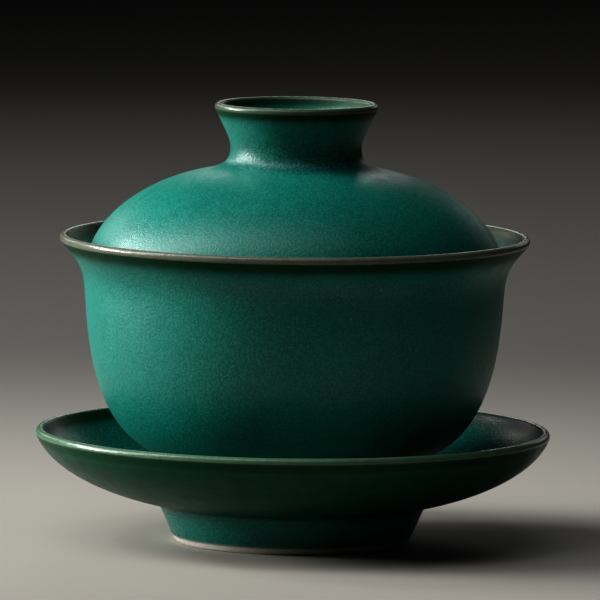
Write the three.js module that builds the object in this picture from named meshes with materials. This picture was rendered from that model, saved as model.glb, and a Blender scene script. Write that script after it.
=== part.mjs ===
// A gaiwan: a lidded tea bowl on its saucer, three turned stoneware pieces that rest in one another.
// Millimetres, +Z up, origin at the centre of the saucer's foot, on the surface that it stands on.
import * as THREE from "three";

const at = (r, z) => new THREE.Vector2(r, z);

// Driving dimensions. Radii are from the common axis, and heights from the surface under the foot.
const SAUCER_RADIUS = 54.8; // over the rim
const SAUCER_RIM_HEIGHT = 24.1; // top of the rim
const SAUCER_FOOT_RADIUS = 24.9; // just above the chamfer, as for the bowl's foot
const WELL_RADIUS = 20.6; // flat floor that the bowl's foot stands on
const WELL_HEIGHT = 8.5;
const BOWL_RADIUS = 50; // over the lip
const BOWL_LIP_HEIGHT = 65.55; // top of the lip
const BOWL_FOOT_RADIUS = 19.7;
const LID_RADIUS = 44.1;
const LID_EDGE_HEIGHT = 59.4; // lowest point of the lid
const KNOB_RADIUS = 17.4;
const KNOB_HEIGHT = 93.72; // top of the knob, and of the whole set
const SAUCER_LIP = 1.05; // radius of the round that ends each edge
const BOWL_LIP = 0.95;
const LID_LIP = 1.05;
const KNOB_LIP = 0.9;
const FOOT_CHAMFER = 0.4;
const SAUCER_RECESS = 5.4; // height of the ceiling of the recess under the foot
const BOWL_RECESS = 14.2;
const RECESS_DRAFT = 0.5; // how much narrower the recess is at its ceiling
const RECESS_CORNER = at(1.4, 1.2); // how far the round under the ceiling reaches in and down
const REST_GAP = 0.3; // left between two pieces that rest on each other

const TURNS = 48; // facets round each turned piece
const EDGE_STEP = 45; // degrees between the points of a round edge, with one at its widest and highest
const WALL_STEPS = 7;
const FILLET_STEPS = 2;

const degrees = THREE.MathUtils.degToRad;

// One stretch of wall, as a cubic curve from its first point to its last.
function wall(from, fromHandle, toHandle, to, steps = WALL_STEPS) {
  return new THREE.CubicBezierCurve(from, fromHandle, toHandle, to).getPoints(steps);
}

// A corner rounded by a quadratic curve that has the sharp corner as its handle.
function fillet(from, corner, to) {
  return new THREE.QuadraticBezierCurve(from, corner, to).getPoints(FILLET_STEPS);
}

// The point that lies a length away from another, in a direction counted in degrees from straight outwards.
function along(point, angle, length) {
  return at(point.x + length * Math.cos(degrees(angle)), point.y + length * Math.sin(degrees(angle)));
}

// A round edge between two angles, counted the same way.
function roundEdge(centre, radius, fromAngle, toAngle) {
  const angles = [fromAngle];
  for (let a = EDGE_STEP * Math.ceil(fromAngle / EDGE_STEP); a < toAngle; a += EDGE_STEP) angles.push(a);
  return [...angles, toAngle].map((angle) => along(centre, angle, radius));
}

// Two stretches that meet share a point, which is kept once.
function joined(...stretches) {
  return stretches.flat().filter((p, i, all) => i === 0 || p.distanceTo(all[i - 1]) > 1e-6);
}

// A closed body of revolution about +Z. The outline runs from the axis, round the outside and back to it.
function turned(name, outline, material) {
  const geometry = new THREE.LatheGeometry(outline, TURNS);
  geometry.rotateX(Math.PI / 2);
  const mesh = new THREE.Mesh(geometry, material);
  mesh.name = name;
  return mesh;
}

// The ring under a piece: its recess, its inner wall, and the flat that it stands on, with its chamfers.
function footRing(height, recessHeight, innerRadius, outerRadius) {
  const corner = at(innerRadius - RECESS_DRAFT, recessHeight);
  const wallTop = at(corner.x + RECESS_DRAFT / 2, recessHeight - RECESS_CORNER.y);
  return [
    at(0, recessHeight),
    ...fillet(at(corner.x - RECESS_CORNER.x, recessHeight), corner, wallTop),
    at(innerRadius, height + FOOT_CHAMFER),
    at(innerRadius + FOOT_CHAMFER, height),
    at(outerRadius - FOOT_CHAMFER, height),
    at(outerRadius, height + FOOT_CHAMFER),
  ];
}

function saucerOutline() {
  const centre = at(SAUCER_RADIUS - SAUCER_LIP, SAUCER_RIM_HEIGHT - SAUCER_LIP);
  const rim = roundEdge(centre, SAUCER_LIP, -22, 150);
  const footTop = at(27.9, 6.8); // the foot widens up to here, and turns into the underside
  const underside = at(30.2, 8.55);
  const shoulder = at(25, 11.3); // where the dish turns down into the well
  const wellWall = at(22.2, 9.8);
  return joined(
    footRing(0, SAUCER_RECESS, 21.7, SAUCER_FOOT_RADIUS),
    fillet(footTop, at(28.5, 8.15), underside),
    wall(underside, along(underside, 12, 11.6), along(rim[0], 68 + 180, 7.4), rim[0]),
    rim,
    wall(rim.at(-1), along(rim.at(-1), 240, 7), at(37.7, 12.4), shoulder),
    fillet(shoulder, at(22.9, 11.1), wellWall),
    fillet(wellWall, at(21.8, WELL_HEIGHT), at(WELL_RADIUS, WELL_HEIGHT)),
    [at(0, WELL_HEIGHT)],
  );
}

function bowlOutline() {
  const centre = at(BOWL_RADIUS - BOWL_LIP, BOWL_LIP_HEIGHT - BOWL_LIP);
  const lip = roundEdge(centre, BOWL_LIP, -41.7, 140);
  const footHeight = WELL_HEIGHT + REST_GAP;
  const belly = at(25.1, 17.48); // where the belly leaves the foot
  const waist = at(44.56, 52.67); // where the flare starts
  const innerWaist = at(42.2, 52);
  const floor = at(16, 18.4);
  return joined(
    footRing(footHeight, BOWL_RECESS, 16.7, BOWL_FOOT_RADIUS),
    fillet(at(20.4, 14.6), at(20.9, 16.55), belly),
    wall(belly, at(41.25, 21.09), at(43.68, 38.04), waist),
    wall(waist, at(44.91, 58.46), along(lip[0], 48.3 + 180, 5.8), lip[0]),
    lip,
    wall(lip.at(-1), along(lip.at(-1), 230, 5.2), at(42.5, 58.5), innerWaist),
    wall(innerWaist, at(41.45, 37.5), at(38.3, 21.4), floor),
    [at(0, 17.6)],
  );
}

function lidOutline() {
  const edgeCentre = at(LID_RADIUS - LID_LIP, LID_EDGE_HEIGHT + LID_LIP);
  const edge = roundEdge(edgeCentre, LID_LIP, 185, 371);
  const knobCentre = at(KNOB_RADIUS - KNOB_LIP, KNOB_HEIGHT - KNOB_LIP);
  const knobLip = roundEdge(knobCentre, KNOB_LIP, -28, 158);
  const shoulder = at(19.76, 79.23); // where the dome turns up into the knob
  const neck = at(13.95, 84.43);
  return joined(
    wall(at(0, 77.4), at(22, 77.4), at(40.8, 71), edge[0]),
    edge,
    wall(edge.at(-1), along(edge.at(-1), 101, 8.9), at(31.85, 76.9), shoulder),
    wall(shoulder, at(14.34, 80.27), at(neck.x, 81.86), neck, 4),
    wall(neck, at(neck.x, 85.6), at(14.9, 87.6), knobLip[0], 4),
    knobLip,
    wall(knobLip.at(-1), at(12.9, 88), at(10.8, 82.4), at(6.5, 82.3)),
    [at(0, 82.2)],
  );
}

const glaze = () => new THREE.MeshStandardMaterial({ color: 0x0f7265, roughness: 0.45, metalness: 0 });

const gaiwan = new THREE.Group();
gaiwan.add(turned("saucer", saucerOutline(), glaze()));
gaiwan.add(turned("bowl", bowlOutline(), glaze()));
gaiwan.add(turned("lid", lidOutline(), glaze()));

export default gaiwan;
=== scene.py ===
"""A gaiwan in satin green stoneware glaze: a saucer, a bowl and a lid.

Each piece is turned as a fine surface on the sizes of the frame's own piece, and carries marks along its
outline that say where its glaze has thinned, pooled, worn or stopped, where faces that look down are
darkened as painted shade, and where the inside of the bowl's lip is partly a painted sheen."""

import math
from typing import NamedTuple

import bpy
import numpy as np
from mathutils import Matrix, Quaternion, Vector, noise


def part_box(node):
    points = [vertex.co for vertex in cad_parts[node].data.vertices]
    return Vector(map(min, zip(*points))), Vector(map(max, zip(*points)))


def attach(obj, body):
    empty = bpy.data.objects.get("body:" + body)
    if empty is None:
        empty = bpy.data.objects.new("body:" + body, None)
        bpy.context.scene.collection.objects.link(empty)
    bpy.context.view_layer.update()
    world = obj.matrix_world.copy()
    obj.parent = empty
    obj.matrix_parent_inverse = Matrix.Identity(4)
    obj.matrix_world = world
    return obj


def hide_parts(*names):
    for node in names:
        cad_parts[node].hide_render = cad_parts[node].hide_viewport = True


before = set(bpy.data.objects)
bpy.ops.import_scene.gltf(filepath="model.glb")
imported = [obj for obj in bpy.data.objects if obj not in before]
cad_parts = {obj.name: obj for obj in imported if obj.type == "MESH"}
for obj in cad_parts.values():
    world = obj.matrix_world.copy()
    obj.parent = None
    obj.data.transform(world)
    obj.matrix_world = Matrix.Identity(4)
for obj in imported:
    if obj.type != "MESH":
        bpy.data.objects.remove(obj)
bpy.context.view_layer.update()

MM = 0.001  # outlines are written in millimetres, and the scene is in metres

# How finely the pieces are turned, in mm
TURNS = 240  # facets round a piece
FINE = 0.05  # between the points that an outline is drawn with
SHORTEST, LONGEST = 0.16, 0.9  # between the points that it is turned with, on an edge and on a plain wall
STEP_PER_RADIUS = 0.16  # how that distance grows with the outline's radius of curvature
STEP_BLUR = 0.5  # length over which that distance changes
BEND_BLUR = 0.35  # length over which the curvature is taken

# The clay and its surface, in mm
CHAMFER = 0.4
RECESS_DRAFT = 0.5  # how much narrower the recess under a foot is at its ceiling
RECESS_ROUND = (2.0, 1.8)  # how far the round under that ceiling reaches in and down
SOFTNESS = 0.22  # how far the glaze rounds each corner
BARE_SAUCER, BARE_BOWL = 0.95, 0.8  # height of the bare clay over the chamfer of each foot
NO_BARE = -9.0  # a height under the whole piece, for one that is glazed all over
GLAZE_STEP = 0.13  # the glaze stands this far out from the bare clay of a foot
WAVE_HEIGHT, WAVE_LENGTH = 0.015, 14.0  # slow waves in the fired surface
RING_HEIGHT, RING_LENGTH = 0.004, 2.6  # rings left by the turning
SEED_SPACING = 500.0  # between the waves of one piece and those of the next

# Where the glaze changes: each pair says where a change starts and where it is complete
EDGE_BEND = (0.35, 0.75)  # curvature per mm of an edge
HOLLOW_BEND = (0.03, 0.22)  # curvature per mm of a hollow, where the glaze pools
EDGE_BLUR, POOL_BLUR, UNDERSIDE_BLUR = 0.2, 0.8, 0.6  # mm
EDGE_CLEAR = (0.1, 0.9)  # the blurred edge is made clear again between these
INWARD = (0.15, 0.45)  # how far a face looks to the axis
INNER_RUN = 2.2  # mm down the inside of the bowl's lip where the glaze has worn like the lip itself, partly a painted sheen
# Faces that look down, above the foot, are darkened as painted shade
DOWNWARD = (0.25, 0.6)  # how far a face looks down
UNDERSIDE_HEIGHT = (7.0, 8.5)  # mm, over the foot and its recess
ABOVE_CLAY = (-4.0, -1.0)  # mm from the bare clay, where the glaze is thicker than at other edges
FOOT_DEPTH = 0.6  # how much thicker it is there
CLAY_BORDER = (-0.05, 0.05)  # mm

# Linear colours
POOLED = (0.0012, 0.080, 0.064)
GREEN = (0.0026, 0.160, 0.124)
LIGHT_GREEN = (0.0042, 0.195, 0.154)
# A lighter fine grain that also stands for the glints of the lit glaze, as painted highlights
GRAIN_AND_GLINT_GREEN = (0.032, 0.290, 0.250)
# FOREST: thin glaze near edges, and painted shade on faces that look down
FOREST = (0.0030, 0.052, 0.0235)
OLIVE = (0.036, 0.062, 0.031)
SAGE = (0.098, 0.190, 0.120)
KHAKI = (0.152, 0.170, 0.128)
MOSS = (0.088, 0.132, 0.088)
SPECK = (0.30, 0.34, 0.27)
CLAY = (0.68, 0.66, 0.60)
GRITTY = (0.53, 0.50, 0.44)
SCORCHED = (0.24, 0.16, 0.09)
# The floor is pale near the object and painted darker further out, as a painted falloff of light
FLOOR_NEAR_LIT = (0.40, 0.377, 0.34)
FLOOR_FAR_SHADE = (0.14, 0.132, 0.121)

# The glaze's and the clay's texture, in metres
CLOUD_SIZE = 0.020
MOTTLE_SIZE = 0.0030
GRAIN_SIZE = 0.00046
GRAIN_HEIGHT = 0.00006
GRIT_SIZE = 0.00035
SPECK_DISTANCE = 0.005
SPECK_RADIUS = 0.0002

# The glaze's shares, from 0 to 1
CLOUD_SHARE, MOTTLE_SHARE = 0.6, 0.4  # of each in the shade of the green
POOL_SHARE = 0.7  # of the pooled colour in a hollow
GRAIN_AND_GLINT_SHARE = 0.52
SCORCH_SHARE = 0.6  # where the glaze meets the clay
RAGGED_THIN, RAGGED_WEAR, RAGGED_SCORCH = 0.3, 0.5, 0.2  # how far texture shifts each border
SMOOTHER, ROUGHER = -0.03, 0.04  # the mottle's change of the roughness
THIN_ROUGHER, CLAY_ROUGHER = 0.12, 0.5
RIM_ROUGHNESS = 0.10
WET_SHINE, DRY_SHINE = 0.5, 0.16  # specular level of glaze at full depth and of the thinnest
GLAZE_IOR = 1.48

# Camera and light, in metres and degrees
CAMERA_DISTANCE = 2.0
CAMERA_ELEVATION = 5.9
CAMERA_ROLL = 0.65
CAMERA_LENS = 564.0  # mm
CAMERA_SENSOR = 36.0  # mm
CAMERA_REACH = 20.0
AIM = Vector((0.0012, 0.0, 0.0516))
FLOOR_SIDE = 6.0
FLOOR_SHADE_FADE = (0.06, 0.40)  # distances from the axis between which the floor goes from near to far, a painted falloff from light to shade
FLOOR_ROUGHNESS = 0.8
WARM, COOL, DAYLIGHT = (1.0, 0.99, 0.97), (0.95, 0.98, 1.0), (0.96, 0.99, 1.0)
SPREAD = 110.0
WORLD_COLOUR = (0.80, 0.86, 0.90, 1.0)
WORLD_STRENGTH = 0.01


class Finish(NamedTuple):
    """How one piece is glazed. Lengths are in mm, and shares go from 0 to 1."""

    bare: float  # height of the bare clay over the piece's base
    run: float  # how far from an edge the glaze is still thin
    underside: float  # how much painted shade darkens a face that looks down, in the thin glaze's colour
    inner: float  # how worn the glaze is down the inside of an edge; its rim colours there are partly a painted sheen
    roughness: float
    rim: tuple  # colour that the glaze breaks to on a rim
    depth: float  # share of the pooled colour away from the hollows
    seed: int  # sets the piece's own waves


SAUCER = Finish(CHAMFER + BARE_SAUCER, 3.2, 0.7, 0.0, 0.24, SAGE, 0.35, 1)
BOWL = Finish(CHAMFER + BARE_BOWL, 3.6, 0.0, 0.65, 0.41, KHAKI, 0.0, 2)
LID = Finish(NO_BARE, 2.0, 0.0, 0.0, 0.40, MOSS, 0.0, 3)


# ---------------------------------------------------------------- outlines

def at(r, z):
    return np.array([r, z], float)


def along(point, angle, length):
    """The point a length away, in a direction counted in degrees from straight outwards."""
    a = math.radians(angle)
    return point + length * at(math.cos(a), math.sin(a))


def curve(*handles):
    """A line, or a quadratic or cubic curve, from its first point to its last."""
    size = sum(np.linalg.norm(b - a) for a, b in zip(handles, handles[1:]))
    t = np.linspace(0.0, 1.0, max(3, int(size / FINE)))[:, None]
    n = len(handles) - 1
    return sum(math.comb(n, i) * (1 - t) ** (n - i) * t**i * p for i, p in enumerate(handles))


def line(*points):
    return np.vstack([curve(a, b) for a, b in zip(points, points[1:])])


def round_edge(centre, radius, start, end):
    """An arc between two directions, counted in degrees from straight outwards."""
    count = max(3, int(math.radians(end - start) * radius / FINE))
    return np.array([along(centre, a, radius) for a in np.linspace(start, end, count)])


def joined(*stretches):
    """One outline of evenly spaced points out of stretches that meet."""
    points = np.vstack(stretches)
    return spaced(points, np.full(len(points), FINE))


def spaced(points, step):
    """The outline again, with points that lie the given step apart."""
    apart = np.linalg.norm(np.diff(points, axis=0), axis=1)
    keep = np.concatenate([[True], apart > 1e-9])
    points, step = points[keep], step[keep]
    apart = np.linalg.norm(np.diff(points, axis=0), axis=1)
    s = np.concatenate([[0.0], np.cumsum(apart)])
    count = np.concatenate([[0.0], np.cumsum(apart / ((step[1:] + step[:-1]) / 2))])
    wanted = np.linspace(0.0, count[-1], int(math.ceil(count[-1])) + 1)
    where = np.interp(wanted, count, s)
    return np.stack([np.interp(where, s, points[:, i]) for i in (0, 1)], axis=1)


def blurred(values, width):
    """Values on an evenly spaced outline, averaged over a width in mm; its ends stay."""
    sigma = width / FINE
    reach = int(3 * sigma) + 1
    kernel = np.exp(-0.5 * (np.arange(-reach, reach + 1) / sigma) ** 2)
    kernel /= kernel.sum()
    before, after = values[reach:0:-1], values[-2:-reach - 2:-1]
    padded = np.concatenate([2 * values[0] - before, values, 2 * values[-1] - after])
    return np.convolve(padded, kernel, mode="valid")


def bend(points):
    """Signed curvature per mm along an evenly spaced outline: above 0 on an edge, below 0 in a hollow."""
    d = np.gradient(points, axis=0)
    angle = blurred(np.unwrap(np.arctan2(d[:, 1], d[:, 0])), BEND_BLUR)
    return np.gradient(angle) / FINE


def normals_of(points):
    d = np.gradient(points, axis=0)
    return np.stack([d[:, 1], -d[:, 0]], axis=1) / np.linalg.norm(d, axis=1)[:, None]


def ramp(values, low, high):
    """0 up to low, 1 from high on, and a smooth step between them."""
    t = np.clip((values - low) / (high - low), 0.0, 1.0)
    return t * t * (3 - 2 * t)


def foot_ring(base, recess, inner, outer, bare, flank):
    """From the axis over the recess under a foot, down its inner wall and up to the glaze outside.

    flank is the angle of the foot's outer wall, in degrees from straight outwards."""
    ceiling = at(inner - RECESS_DRAFT, recess)
    round_start = at(ceiling[0] - RECESS_ROUND[0], recess)
    round_end = at(ceiling[0] + RECESS_DRAFT / 2, recess - RECESS_ROUND[1])
    flank_start = at(outer, base + CHAMFER)
    glaze_edge = along(flank_start, flank, bare / math.sin(math.radians(flank)))
    glazed = along(glaze_edge, flank - 90, GLAZE_STEP)
    return [
        line(at(0, recess), round_start),
        curve(round_start, ceiling, round_end),
        line(round_end, at(inner, base + CHAMFER), at(inner + CHAMFER, base),
             at(outer - CHAMFER, base), flank_start, glaze_edge, glazed),
    ]


def saucer_outline(radius, top, base):
    half = 1.05
    rim = round_edge(at(radius - half, top - half), half, -22, 150)
    foot = foot_ring(base, recess=5.4, inner=21.7, outer=24.9, bare=BARE_SAUCER, flank=64)
    foot_top, underside = at(27.9, 6.8), at(30.2, 8.55)
    shoulder, well_wall, well = at(25, 11.3), at(22.2, 9.8), at(20.6, 8.5)
    return joined(
        *foot,
        line(foot[-1][-1], foot_top),
        curve(foot_top, at(28.5, 8.15), underside),
        curve(underside, along(underside, 12, 11.6), along(rim[0], 68 + 180, 7.4), rim[0]),
        rim,
        curve(rim[-1], along(rim[-1], 240, 7), at(37.7, 12.4), shoulder),
        curve(shoulder, at(22.9, 11.1), well_wall),
        curve(well_wall, at(21.8, well[1]), well),
        line(well, at(0, well[1])),
    )


def bowl_outline(radius, top, base):
    half = 0.95
    lip = round_edge(at(radius - half, top - half), half, -41.7, 140)
    foot = foot_ring(base, recess=14.2, inner=16.7, outer=19.7, bare=BARE_BOWL, flank=83)
    foot_top, belly = at(20.4, 14.6), at(25.1, 17.48)
    waist, inner_waist = at(44.56, 52.67), at(42.2, 52)
    floor_edge, floor_middle = at(16, 18.4), at(0, 17.6)
    return joined(
        *foot,
        line(foot[-1][-1], foot_top),
        curve(foot_top, at(20.9, 16.55), belly),
        curve(belly, at(41.25, 21.09), at(43.68, 38.04), waist),
        curve(waist, at(44.91, 58.46), along(lip[0], 48.3 + 180, 5.8), lip[0]),
        lip,
        curve(lip[-1], along(lip[-1], 230, 5.2), at(42.5, 58.5), inner_waist),
        curve(inner_waist, at(41.45, 37.5), at(38.3, 21.4), floor_edge),
        curve(floor_edge, at(8, floor_middle[1]), floor_middle),
    )


def lid_outline(radius, top, base):
    half, knob_half, knob_radius = 1.05, 0.9, 17.4
    edge = round_edge(at(radius - half, base + half), half, 185, 371)
    knob_lip = round_edge(at(knob_radius - knob_half, top - knob_half), knob_half, -28, 158)
    ceiling = at(0, 77.4)
    shoulder, neck, knob_floor = at(19.76, 79.23), at(13.95, 84.43), at(6.5, 82.3)
    return joined(
        curve(ceiling, at(22, ceiling[1]), at(40.8, 71), edge[0]),
        edge,
        curve(edge[-1], along(edge[-1], 101, 8.9), at(31.85, 76.9), shoulder),
        curve(shoulder, at(14.34, 80.27), at(neck[0], 81.86), neck),
        curve(neck, at(neck[0], 85.6), at(14.9, 87.6), knob_lip[0]),
        knob_lip,
        curve(knob_lip[-1], at(12.9, 88), at(10.8, 82.4), knob_floor),
        line(knob_floor, at(0, 82.2)),
    )


# ---------------------------------------------------------------- pieces

def turned(name, outline, base, finish):
    """A piece turned from an outline, with the marks of its glaze kept on its points."""
    soft = np.stack([blurred(outline[:, i], SOFTNESS) for i in (0, 1)], axis=1)
    soft[0], soft[-1] = outline[0], outline[-1]
    soft[:, 0] = np.maximum(soft[:, 0], 0.0)
    curvature = bend(soft)
    marks = marks_of(soft, curvature, base + finish.bare, finish)
    step = np.clip(STEP_PER_RADIUS / np.maximum(np.abs(curvature), 1e-6), SHORTEST, LONGEST)
    points = spaced(soft, blurred(step, STEP_BLUR))
    nearest = [np.argmin(np.sum((soft - p) ** 2, axis=1)) for p in points]
    return lathe(name, points, {mark: values[nearest] for mark, values in marks.items()}, finish.seed)


def marks_of(points, curvature, bare_below, finish):
    """What the glaze does along an outline.

    edge is 1 on a round edge, where the glaze has worn, and down the inside of an edge it takes the finish's
    inner share, partly as wear and partly as a painted sheen. thin_and_shaded falls off from 1 there to 0
    where the glaze has its full depth, and is raised on faces that look down as painted shade. pool is 1
    where it has gathered in a hollow, and bare is 1 on the clay that has none."""
    heights, normals = points[:, 1], normals_of(points)
    edge = ramp(blurred(ramp(curvature, *EDGE_BEND), EDGE_BLUR), *EDGE_CLEAR)
    s = np.arange(len(points)) * FINE
    away = np.min(np.abs(s[:, None] - s[edge > 0.5][None, :]), axis=1)

    thin_and_shaded = np.exp(-((away / finish.run) ** 2))
    thin_and_shaded *= 1.0 - FOOT_DEPTH * ramp(bare_below - heights, *ABOVE_CLAY)
    # Painted shade: faces that look down, above the foot, are darkened with the thin glaze's colour
    underside = blurred(ramp(-normals[:, 1], *DOWNWARD) * ramp(heights, *UNDERSIDE_HEIGHT), UNDERSIDE_BLUR)
    thin_and_shaded = np.maximum(thin_and_shaded, finish.underside * underside)

    # Down the inside of an edge the rim colours stand partly for wear and partly for a painted sheen
    inside = ramp(-normals[:, 0], *INWARD) * np.exp(-((away / INNER_RUN) ** 2))
    edge = np.maximum(edge, finish.inner * inside)
    pool = np.clip(blurred(ramp(-curvature, *HOLLOW_BEND), POOL_BLUR), 0.0, 1.0)
    bare = ramp(bare_below - heights, *CLAY_BORDER)
    return {"edge": edge, "thin_and_shaded": thin_and_shaded, "pool": pool, "bare": bare}


def lathe(name, points, marks, seed):
    """Turns the outline, whose ends are on the axis, and gives it the waves of a fired surface."""
    rings = range(1, len(points) - 1)
    normals = normals_of(points)
    vertices = [(0.0, 0.0, points[0][1] * MM)]
    for i in rings:
        r, z = points[i]
        calm = 1.0 - marks["bare"][i]
        for k in range(TURNS):
            a = 2 * math.pi * k / TURNS
            spot = Vector((r * math.cos(a), r * math.sin(a), z + SEED_SPACING * seed))
            wave = WAVE_HEIGHT * noise.noise(spot / WAVE_LENGTH)
            ring_spot = Vector((math.cos(a), math.sin(a) + seed, (r + z) / RING_LENGTH))
            out = (wave + RING_HEIGHT * noise.noise(ring_spot)) * calm
            rr, zz = r + normals[i][0] * out, z + normals[i][1] * out
            vertices.append((rr * math.cos(a) * MM, rr * math.sin(a) * MM, zz * MM))
    vertices.append((0.0, 0.0, points[-1][1] * MM))
    mesh = bpy.data.meshes.new(name)
    mesh.from_pydata(vertices, [], lathe_faces(len(rings)))
    for mark, values in marks.items():
        layer = mesh.attributes.new(mark, "FLOAT", "POINT")
        spread = np.concatenate([values[:1], np.repeat(values[1:-1], TURNS), values[-1:]])
        layer.data.foreach_set("value", spread.astype(np.float32))
    mesh.shade_smooth()
    mesh.validate()
    piece = bpy.data.objects.new(name, mesh)
    bpy.context.scene.collection.objects.link(piece)
    return piece


def lathe_faces(rings):
    """The faces of a lathe with a point on the axis at each end and rings of TURNS points between them."""
    last = 1 + rings * TURNS
    faces = []
    for k in range(TURNS):
        n = (k + 1) % TURNS
        faces.append((0, 1 + n, 1 + k))
        faces.append((last, last - TURNS + k, last - TURNS + n))
    for i in range(rings - 1):
        low, high = 1 + i * TURNS, 1 + (i + 1) * TURNS
        for k in range(TURNS):
            n = (k + 1) % TURNS
            faces.append((low + k, low + n, high + n, high + k))
    return faces


# ---------------------------------------------------------------- materials

class Shader:
    """A material's node tree, with one short call for each kind of node."""

    def __init__(self, name):
        self.material = bpy.data.materials.new(name)
        self.material.use_nodes = True
        self.nodes = self.material.node_tree.nodes
        self.links = self.material.node_tree.links
        self.surface = self.nodes["Principled BSDF"]

    def node(self, kind, settings=None, **inputs):
        made = self.nodes.new(kind)
        for key, value in (settings or {}).items():
            setattr(made, key, value)
        for key, value in inputs.items():
            self.feed(made.inputs[key], value)
        return made

    def feed(self, socket, value):
        if isinstance(value, bpy.types.NodeSocket):
            self.links.new(value, socket)
        else:
            socket.default_value = value

    def place(self):
        return self.node("ShaderNodeTexCoord").outputs["Object"]

    def mark(self, name):
        return self.node("ShaderNodeAttribute", {"attribute_name": name}).outputs["Fac"]

    def noise(self, place, size, detail, rough=0.5):
        """Noise from 0 to 1 whose lumps are about the given size in metres."""
        settings = {"Vector": place, "Scale": 1.0 / size, "Detail": detail, "Roughness": rough}
        return self.node("ShaderNodeTexNoise", **settings).outputs["Fac"]

    def specks(self, place, apart, radius):
        """1 in round specks of up to the given radius, scattered about that far apart, in metres."""
        made = self.node("ShaderNodeTexVoronoi", Vector=place, Scale=1.0 / apart)
        return self.stretch(made.outputs["Distance"], radius / apart, 0.6 * radius / apart)

    def math(self, operation, a, b):
        made = self.node("ShaderNodeMath", {"operation": operation})
        self.feed(made.inputs[0], a)
        self.feed(made.inputs[1], b)
        return made.outputs["Value"]

    def plus(self, value, other, share):
        """The value, plus a share of another."""
        return self.math("ADD", value, self.math("MULTIPLY", other, share))

    def stretch(self, value, low, high, to_low=0.0, to_high=1.0):
        """A smooth step from one number at low to another at high."""
        made = self.node("ShaderNodeMapRange", {"interpolation_type": "SMOOTHSTEP"}, Value=value)
        for key, number in zip(("From Min", "From Max", "To Min", "To Max"), (low, high, to_low, to_high)):
            made.inputs[key].default_value = number
        return made.outputs["Result"]

    def mix(self, share, a, b):
        made = self.node("ShaderNodeMix", {"data_type": "RGBA"})
        self.feed(made.inputs["Factor"], share)
        for socket, value in zip((s for s in made.inputs if s.type == "RGBA"), (a, b)):
            self.feed(socket, value if isinstance(value, bpy.types.NodeSocket) else (*value, 1.0))
        return next(s for s in made.outputs if s.type == "RGBA")

    def bump(self, height, distance):
        return self.node("ShaderNodeBump", Height=height, Distance=distance, Strength=1.0).outputs["Normal"]


def glaze(name, finish):
    """Satin stoneware glaze over off-white clay, which breaks to the rim colour on a thinned edge."""
    s = Shader(name)
    place = s.place()
    edge, thin_and_shaded, pool, bare = s.mark("edge"), s.mark("thin_and_shaded"), s.mark("pool"), s.mark("bare")
    cloud = s.noise(place, CLOUD_SIZE, 3.0)
    mottle = s.noise(place, MOTTLE_SIZE, 4.0, 0.6)
    grain_and_glints = s.noise(place, GRAIN_SIZE, 1.0)
    grit = s.noise(place, GRIT_SIZE, 3.0, 0.7)
    uneven = s.math("SUBTRACT", mottle, 0.5)

    shade = s.plus(s.math("MULTIPLY", cloud, CLOUD_SHARE), mottle, MOTTLE_SHARE)
    green = s.mix(s.stretch(shade, 0.36, 0.66), GREEN, LIGHT_GREEN)
    green = s.mix(s.stretch(pool, 0.0, 1.0, finish.depth, POOL_SHARE), green, POOLED)
    # Fine lighter grain, partly painted glints
    green = s.mix(s.stretch(grain_and_glints, 0.42, 0.64, 0.0, GRAIN_AND_GLINT_SHARE), green, GRAIN_AND_GLINT_GREEN)
    green = s.mix(s.specks(place, SPECK_DISTANCE, SPECK_RADIUS), green, SPECK)
    # FOREST darkens the thin glaze near edges, and faces that look down as painted shade
    thinned_and_shaded = s.mix(s.stretch(s.plus(thin_and_shaded, uneven, RAGGED_THIN), 0.05, 0.85), green, FOREST)

    worn = s.plus(edge, uneven, RAGGED_WEAR)
    broken = s.mix(s.stretch(worn, 0.55, 1.05), OLIVE, finish.rim)
    glazed = s.mix(s.stretch(worn, 0.15, 0.6), thinned_and_shaded, broken)

    clay = s.mix(s.stretch(grit, 0.35, 0.7), CLAY, GRITTY)
    scorched = s.stretch(s.plus(bare, grit, RAGGED_SCORCH), 0.95, 0.65, 0.0, SCORCH_SHARE)
    clay = s.mix(scorched, clay, SCORCHED)

    rough = s.stretch(mottle, 0.3, 0.7, finish.roughness + SMOOTHER, finish.roughness + ROUGHER)
    rough = s.plus(rough, thin_and_shaded, THIN_ROUGHER)
    rough = s.plus(rough, edge, RIM_ROUGHNESS - finish.roughness)
    rough = s.plus(rough, bare, CLAY_ROUGHER)
    dry = s.math("SUBTRACT", thin_and_shaded, edge)

    s.feed(s.surface.inputs["Base Color"], s.mix(bare, glazed, clay))
    s.feed(s.surface.inputs["Roughness"], rough)
    s.feed(s.surface.inputs["Specular IOR Level"], s.stretch(dry, 0.0, 0.8, WET_SHINE, DRY_SHINE))
    s.feed(s.surface.inputs["Normal"], s.bump(grain_and_glints, GRAIN_HEIGHT))
    s.feed(s.surface.inputs["IOR"], GLAZE_IOR)
    return s.material


# ---------------------------------------------------------------- object

def add_piece(node, outline, finish):
    """Turns one piece on the sizes of the frame's own, in whose place it rides."""
    low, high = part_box(node)
    radius, top, base = high[0] / MM, high[2] / MM, low[2] / MM
    piece = turned("glazed_" + node, outline(radius, top, base), base, finish)
    piece.data.materials.append(glaze(node + "_glaze", finish))
    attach(piece, node)
    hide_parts(node)


def gaiwan():
    add_piece("saucer", saucer_outline, SAUCER)
    add_piece("bowl", bowl_outline, BOWL)
    add_piece("lid", lid_outline, LID)


# ---------------------------------------------------------------- stage

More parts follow.
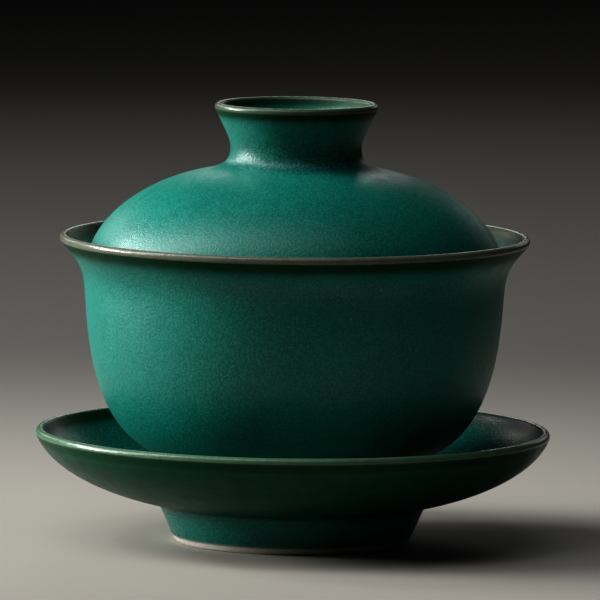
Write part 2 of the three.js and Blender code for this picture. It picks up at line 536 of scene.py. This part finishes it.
def floor():
    corners = [(-1, -1), (1, -1), (1, 1), (-1, 1)]
    mesh = bpy.data.meshes.new("floor")
    mesh.from_pydata([(x * FLOOR_SIDE, y * FLOOR_SIDE, 0) for x, y in corners], [], [(0, 1, 2, 3)])
    s = Shader("floor_with_painted_falloff")
    away = s.node("ShaderNodeVectorMath", {"operation": "LENGTH"}, Vector=s.place()).outputs["Value"]
    # Painted falloff of light: the floor darkens with distance from the axis
    s.feed(s.surface.inputs["Base Color"], s.mix(s.stretch(away, *FLOOR_SHADE_FADE), FLOOR_NEAR_LIT, FLOOR_FAR_SHADE))
    s.feed(s.surface.inputs["Roughness"], FLOOR_ROUGHNESS)
    mesh.materials.append(s.material)
    obj = bpy.data.objects.new("floor", mesh)
    bpy.context.scene.collection.objects.link(obj)


def towards(azimuth, elevation):
    """A direction out from the object: azimuth 0 is the front and 90 the right."""
    a, e = math.radians(azimuth), math.radians(elevation)
    return Vector((math.sin(a) * math.cos(e), -math.cos(a) * math.cos(e), math.sin(e)))


def softbox(name, azimuth, elevation, distance, width, height, power, colour):
    light = bpy.data.lights.new(name, "AREA")
    light.shape = "RECTANGLE"
    light.size, light.size_y = width, height
    light.energy = power
    light.color = colour
    light.spread = math.radians(SPREAD)
    obj = bpy.data.objects.new(name, light)
    out = towards(azimuth, elevation)
    obj.location = AIM + out * distance
    obj.rotation_euler = out.to_track_quat("Z", "Y").to_euler()
    bpy.context.scene.collection.objects.link(obj)


def lights():
    """Broad light from the left, weaker light from above, and a little from behind."""
    softbox("key", -90, 25, 1.3, 0.6, 0.6, 2.9, WARM)
    softbox("low_key", -101, 12, 1.3, 0.4, 0.35, 3.6, WARM)
    softbox("high_key", -88, 48, 1.4, 0.5, 0.35, 1.3, WARM)
    softbox("window", -119, 26, 1.3, 0.30, 0.22, 1.5, DAYLIGHT)
    softbox("front", -58, 58, 1.4, 0.8, 0.8, 1.3, COOL)
    softbox("top", -10, 70, 1.4, 1.0, 0.9, 0.8, COOL)
    softbox("back", -180, 20, 1.4, 0.36, 0.35, 0.22, WARM)
    softbox("back_left", -150, 18, 1.4, 0.26, 0.3, 0.17, WARM)
    softbox("back_right", 159, 13, 1.4, 0.5, 0.35, 0.09, WARM)
    world = bpy.data.worlds.new("studio")
    world.use_nodes = True
    background = world.node_tree.nodes["Background"]
    background.inputs["Color"].default_value = WORLD_COLOUR
    background.inputs["Strength"].default_value = WORLD_STRENGTH
    bpy.context.scene.world = world


def camera():
    data = bpy.data.cameras.new("camera")
    data.lens = CAMERA_LENS
    data.sensor_width = CAMERA_SENSOR
    data.clip_end = CAMERA_REACH
    obj = bpy.data.objects.new("camera", data)
    out = towards(0.0, CAMERA_ELEVATION)
    obj.location = AIM + out * CAMERA_DISTANCE
    roll = Quaternion((0.0, 0.0, 1.0), math.radians(CAMERA_ROLL))
    obj.rotation_euler = (out.to_track_quat("Z", "Y") @ roll).to_euler()
    bpy.context.scene.collection.objects.link(obj)
    bpy.context.scene.camera = obj


camera()
lights()
floor()
gaiwan()

bpy.context.scene.view_settings.view_transform = "Standard"
bpy.context.scene.view_settings.look = "High Contrast"
